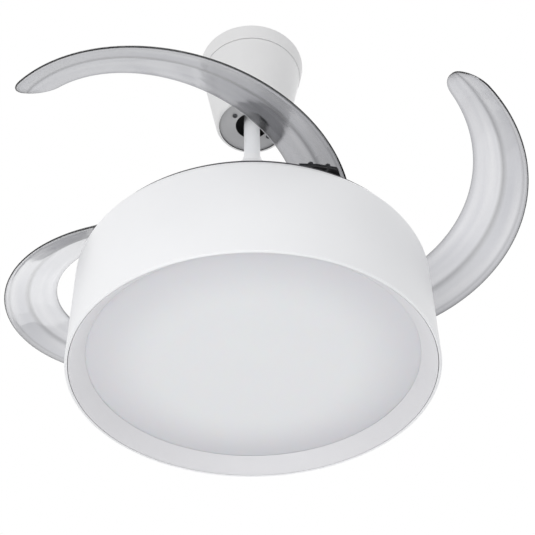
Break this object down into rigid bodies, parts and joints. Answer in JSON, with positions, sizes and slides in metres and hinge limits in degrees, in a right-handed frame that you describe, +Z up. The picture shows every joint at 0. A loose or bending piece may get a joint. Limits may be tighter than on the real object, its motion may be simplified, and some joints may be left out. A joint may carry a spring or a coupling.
{
  "type": "ceiling fan with retractable blades and lamp",
  "caption": "Ceiling fan with clear sickle blades that fold away over a white lamp drum, hung on a short rod from a tapered canopy.",
  "frame": {"origin": "middle of the bracket's upper face, where it meets the ceiling", "axes": "+Z up along the downrod and the motor's axis, towards the ceiling; -Y is the side that faces the viewer in the picture, with +X to the right"},
  "size_m": [0.7648, 0.7648, 0.69],
  "materials": {
    "white_paint": "smooth satin powder coat",
    "white_plastic": "moulded, satin",
    "grey_paint": "matte grey",
    "frosted": "frosted lamp cover",
    "clear_plastic": "polished, clear with a smoky tint",
    "black_plastic": "moulded",
    "steel": "zinc plated",
    "aluminium": "die cast and turned",
    "grey_anodised": "sheet, dark grey anodised",
    "dark_steel": "black oxide",
    "copper": "enamelled copper wire",
    "magnet": "sintered",
    "nylon": "natural nylon"
  },
  "bodies": {
    "ceiling_mount": {"ceiling_bracket": "steel", "canopy_rim": "white_plastic", "canopy_shell": "white_plastic", "canopy_base_plate": "grey_paint", "canopy_screw_1": "dark_steel", "canopy_screw_2": "dark_steel", "receiver_module": "white_plastic", "terminal_block": "nylon"},
    "seat": {"ball_seat": "nylon"},
    "pendant": {"hanger_ball": "black_plastic", "ball_pin": "steel", "downrod": "white_paint", "supply_lead": "black_plastic", "coupler": "aluminium", "coupler_pin": "steel", "coupling_cover": "white_plastic", "motor_shaft": "steel", "shaft_nut": "steel", "stator_core": "dark_steel", "stator_winding": "copper", "drum_shell": "white_plastic", "bezel_ring": "white_plastic", "diffuser": "frosted", "lamp_plate": "steel", "light_pan": "white_paint", "led_board": "aluminium", "led_driver": "white_plastic", "drum_screw_1": "steel", "drum_screw_2": "steel", "drum_screw_3": "steel"},
    "rotor": {"rotor_cup": "aluminium", "rotor_lid": "aluminium", "magnet_ring": "magnet", "bearing_lower": "steel", "bearing_upper": "steel", "blade_carrier": "grey_anodised", "top_cover": "white_plastic", "pivot_post_1": "steel", "pivot_post_2": "steel", "pivot_post_3": "steel", "pivot_post_4": "steel"},
    "sync": {"sync_gear": "nylon"},
    "blade_1_set": {"blade_1": "clear_plastic", "blade_hub_1": "black_plastic", "blade_clamp_1": "dark_steel", "retract_spring_1": "steel"},
    "blade_2_set": {"blade_2": "clear_plastic", "blade_hub_2": "black_plastic", "blade_clamp_2": "dark_steel", "retract_spring_2": "steel"},
    "blade_3_set": {"blade_3": "clear_plastic", "blade_hub_3": "black_plastic", "blade_clamp_3": "dark_steel", "retract_spring_3": "steel"},
    "blade_4_set": {"blade_4": "clear_plastic", "blade_hub_4": "black_plastic", "blade_clamp_4": "dark_steel", "retract_spring_4": "steel"}
  },
  "joints": [
    {"name": "tilt_x", "type": "hinge", "parent": "ceiling_mount", "child": "seat", "pos_m": [0, 0, -0.052], "axis": [1, 0, 0], "range_deg": [-4.5, 4.5]},
    {"name": "tilt_y", "type": "hinge", "parent": "seat", "child": "pendant", "pos_m": [0, 0, -0.052], "axis": [0, 1, 0], "range_deg": [-4.5, 4.5]},
    {"name": "rotor_spin", "type": "hinge", "parent": "pendant", "child": "rotor", "pos_m": [0, 0, -0.549], "axis": [0, 0, 1], "continuous": true},
    {"name": "blade_1_fold", "type": "hinge", "parent": "rotor", "child": "blade_1_set", "pos_m": [0.08254, -0.18983, -0.515], "axis": [0, 0, 1], "range_deg": [-50.5, 0], "stiffness_Nm_per_rad": 0.17, "springref_deg": -50.48},
    {"name": "blade_2_fold", "type": "hinge", "parent": "rotor", "child": "blade_2_set", "pos_m": [0.18983, 0.08254, -0.515], "axis": [0, 0, 1], "range_deg": [-50.5, 0], "stiffness_Nm_per_rad": 0.17, "springref_deg": -50.48},
    {"name": "blade_3_fold", "type": "hinge", "parent": "rotor", "child": "blade_3_set", "pos_m": [-0.08254, 0.18983, -0.515], "axis": [0, 0, 1], "range_deg": [-50.5, 0], "stiffness_Nm_per_rad": 0.17, "springref_deg": -50.48},
    {"name": "blade_4_fold", "type": "hinge", "parent": "rotor", "child": "blade_4_set", "pos_m": [-0.18983, -0.08254, -0.515], "axis": [0, 0, 1], "range_deg": [-50.5, 0], "stiffness_Nm_per_rad": 0.17, "springref_deg": -50.48},
    {"name": "sync_turn", "type": "hinge", "parent": "rotor", "child": "sync", "pos_m": [0, 0, -0.524], "axis": [0, 0, 1], "range_deg": [0, 19.2]}
  ],
  "couplings": [
    {"joint": "blade_2_fold", "follows": "blade_1_fold", "ratio": 1},
    {"joint": "blade_3_fold", "follows": "blade_1_fold", "ratio": 1},
    {"joint": "blade_4_fold", "follows": "blade_1_fold", "ratio": 1},
    {"joint": "sync_turn", "follows": "blade_1_fold", "ratio": -0.38}
  ]
}
